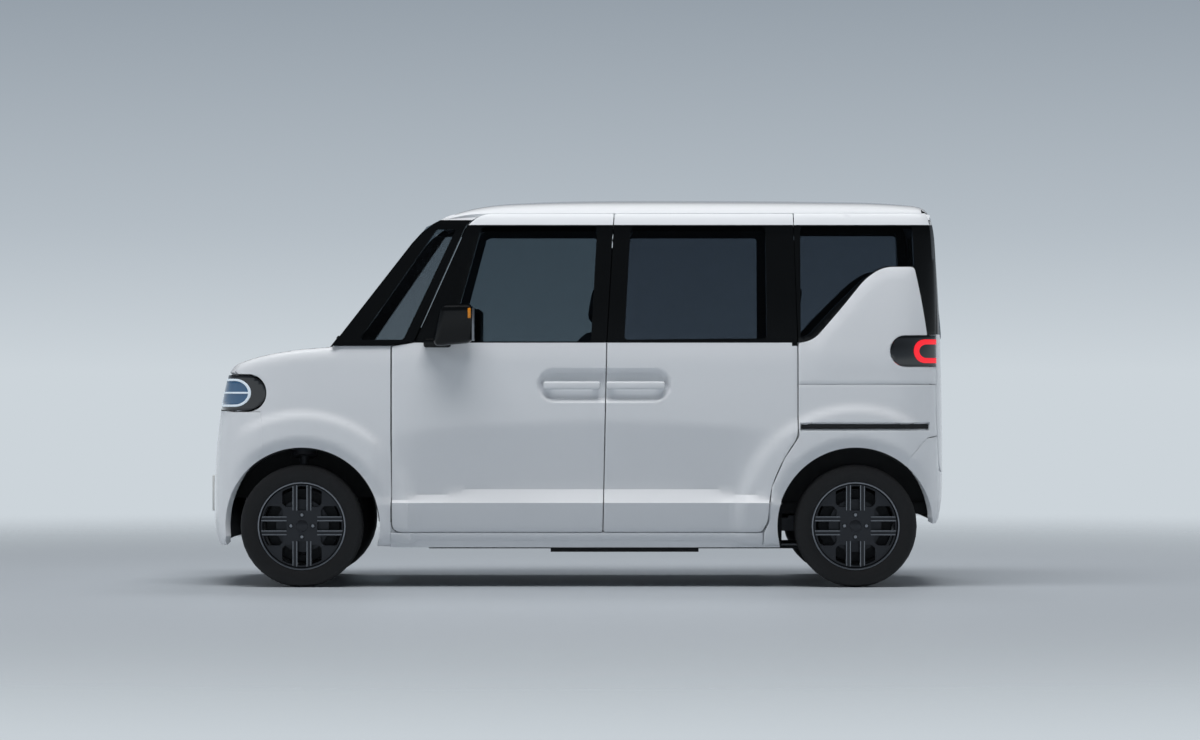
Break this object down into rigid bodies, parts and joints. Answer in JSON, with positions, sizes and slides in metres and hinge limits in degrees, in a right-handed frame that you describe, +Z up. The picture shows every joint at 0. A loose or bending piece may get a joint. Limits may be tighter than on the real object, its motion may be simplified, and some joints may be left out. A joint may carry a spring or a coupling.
{
  "type": "tall box-shaped compact car",
  "caption": "Tall box-shaped compact car with hinged front doors, sliding rear doors, hood, tailgate and steered front wheels.",
  "frame": {"origin": "on the ground, in the middle of the car's length and width", "axes": "+X towards the rear, +Y to the car's right, +Z up"},
  "size_m": [3.3948, 1.779, 1.79],
  "materials": {
    "paint": "gloss",
    "black_trim": "gloss",
    "grey_plastic": "matte",
    "tinted_glass": "gloss",
    "clear_glass": "gloss",
    "lamp": "gloss",
    "tail_lamp": "gloss",
    "steel": "satin",
    "exhaust": "satin",
    "cloth": "matte",
    "tyre": "matte",
    "alloy": "satin"
  },
  "bodies": {
    "body": {"floor_pan": "steel", "front_frame": "steel", "body_sides": "paint", "roof": "paint", "front_fenders": "paint", "front_bumper": "paint", "rear_bumper": "paint", "grille": "black_trim", "cowl": "grey_plastic", "windscreen": "clear_glass", "side_glass": "tinted_glass", "slide_door_left": "paint", "slide_door_right": "paint", "headlamps": "lamp", "tail_lamps": "tail_lamp", "slide_rails": "grey_plastic", "arch_liners": "grey_plastic", "engine": "steel", "dashboard": "grey_plastic", "front_seats": "cloth", "rear_seat": "cloth", "seat_frames": "steel", "front_suspension": "steel", "rear_axle": "steel", "exhaust": "exhaust", "fuel_tank": "grey_plastic", "wipers": "grey_plastic"},
    "hood": {"hood": "paint"},
    "front_door_left": {"front_door_left": "paint", "door_glass_left": "tinted_glass", "mirror_left": "black_trim"},
    "front_door_right": {"front_door_right": "paint", "door_glass_right": "tinted_glass", "mirror_right": "black_trim"},
    "tailgate": {"tailgate": "paint", "gate_glass": "tinted_glass"},
    "steering_wheel": {"steering_wheel": "grey_plastic"},
    "knuckle_left": {"knuckle_left": "steel"},
    "knuckle_right": {"knuckle_right": "steel"},
    "wheel_front_left": {"tyre_front_left": "tyre", "rim_front_left": "alloy"},
    "wheel_front_right": {"tyre_front_right": "tyre", "rim_front_right": "alloy"},
    "wheel_rear_left": {"tyre_rear_left": "tyre", "rim_rear_left": "alloy"},
    "wheel_rear_right": {"tyre_rear_right": "tyre", "rim_rear_right": "alloy"}
  },
  "joints": [
    {"name": "hood_hinge", "type": "hinge", "parent": "body", "child": "hood", "pos_m": [-1.1655, 0, 1.082], "axis": [0, 1, 0], "range_deg": [0, 55]},
    {"name": "front_door_left_hinge", "type": "hinge", "parent": "body", "child": "front_door_left", "pos_m": [-0.8425, -0.7325, 0.9], "axis": [0, 0, -1], "range_deg": [0, 65]},
    {"name": "front_door_right_hinge", "type": "hinge", "parent": "body", "child": "front_door_right", "pos_m": [-0.8425, 0.7325, 0.9], "axis": [0, 0, 1], "range_deg": [0, 65]},
    {"name": "tailgate_hinge", "type": "hinge", "parent": "body", "child": "tailgate", "pos_m": [1.5895, 0, 1.732], "axis": [0, -1, 0], "range_deg": [0, 85]},
    {"name": "steer_left", "type": "hinge", "parent": "body", "child": "knuckle_left", "pos_m": [-1.2505, -0.6, 0.17], "axis": [0, 0.1942, 0.981], "range_deg": [-35, 35]},
    {"name": "steer_right", "type": "hinge", "parent": "body", "child": "knuckle_right", "pos_m": [-1.2505, 0.6, 0.17], "axis": [0, -0.1942, 0.981], "range_deg": [-35, 35]},
    {"name": "steering_wheel_turn", "type": "hinge", "parent": "body", "child": "steering_wheel", "pos_m": [-0.6135, 0.29, 0.88], "axis": [0.8829, 0, 0.4695], "range_deg": [-490, 490]},
    {"name": "wheel_front_left_spin", "type": "hinge", "parent": "knuckle_left", "child": "wheel_front_left", "pos_m": [-1.2505, -0.6525, 0.2785], "axis": [0, 1, 0], "continuous": true},
    {"name": "wheel_front_right_spin", "type": "hinge", "parent": "knuckle_right", "child": "wheel_front_right", "pos_m": [-1.2505, 0.6525, 0.2785], "axis": [0, 1, 0], "continuous": true},
    {"name": "wheel_rear_left_spin", "type": "hinge", "parent": "body", "child": "wheel_rear_left", "pos_m": [1.2695, -0.6525, 0.2785], "axis": [0, 1, 0], "continuous": true},
    {"name": "wheel_rear_right_spin", "type": "hinge", "parent": "body", "child": "wheel_rear_right", "pos_m": [1.2695, 0.6525, 0.2785], "axis": [0, 1, 0], "continuous": true}
  ],
  "couplings": [
    {"joint": "steer_right", "follows": "steer_left", "ratio": 1},
    {"joint": "steering_wheel_turn", "follows": "steer_left", "ratio": 14}
  ]
}
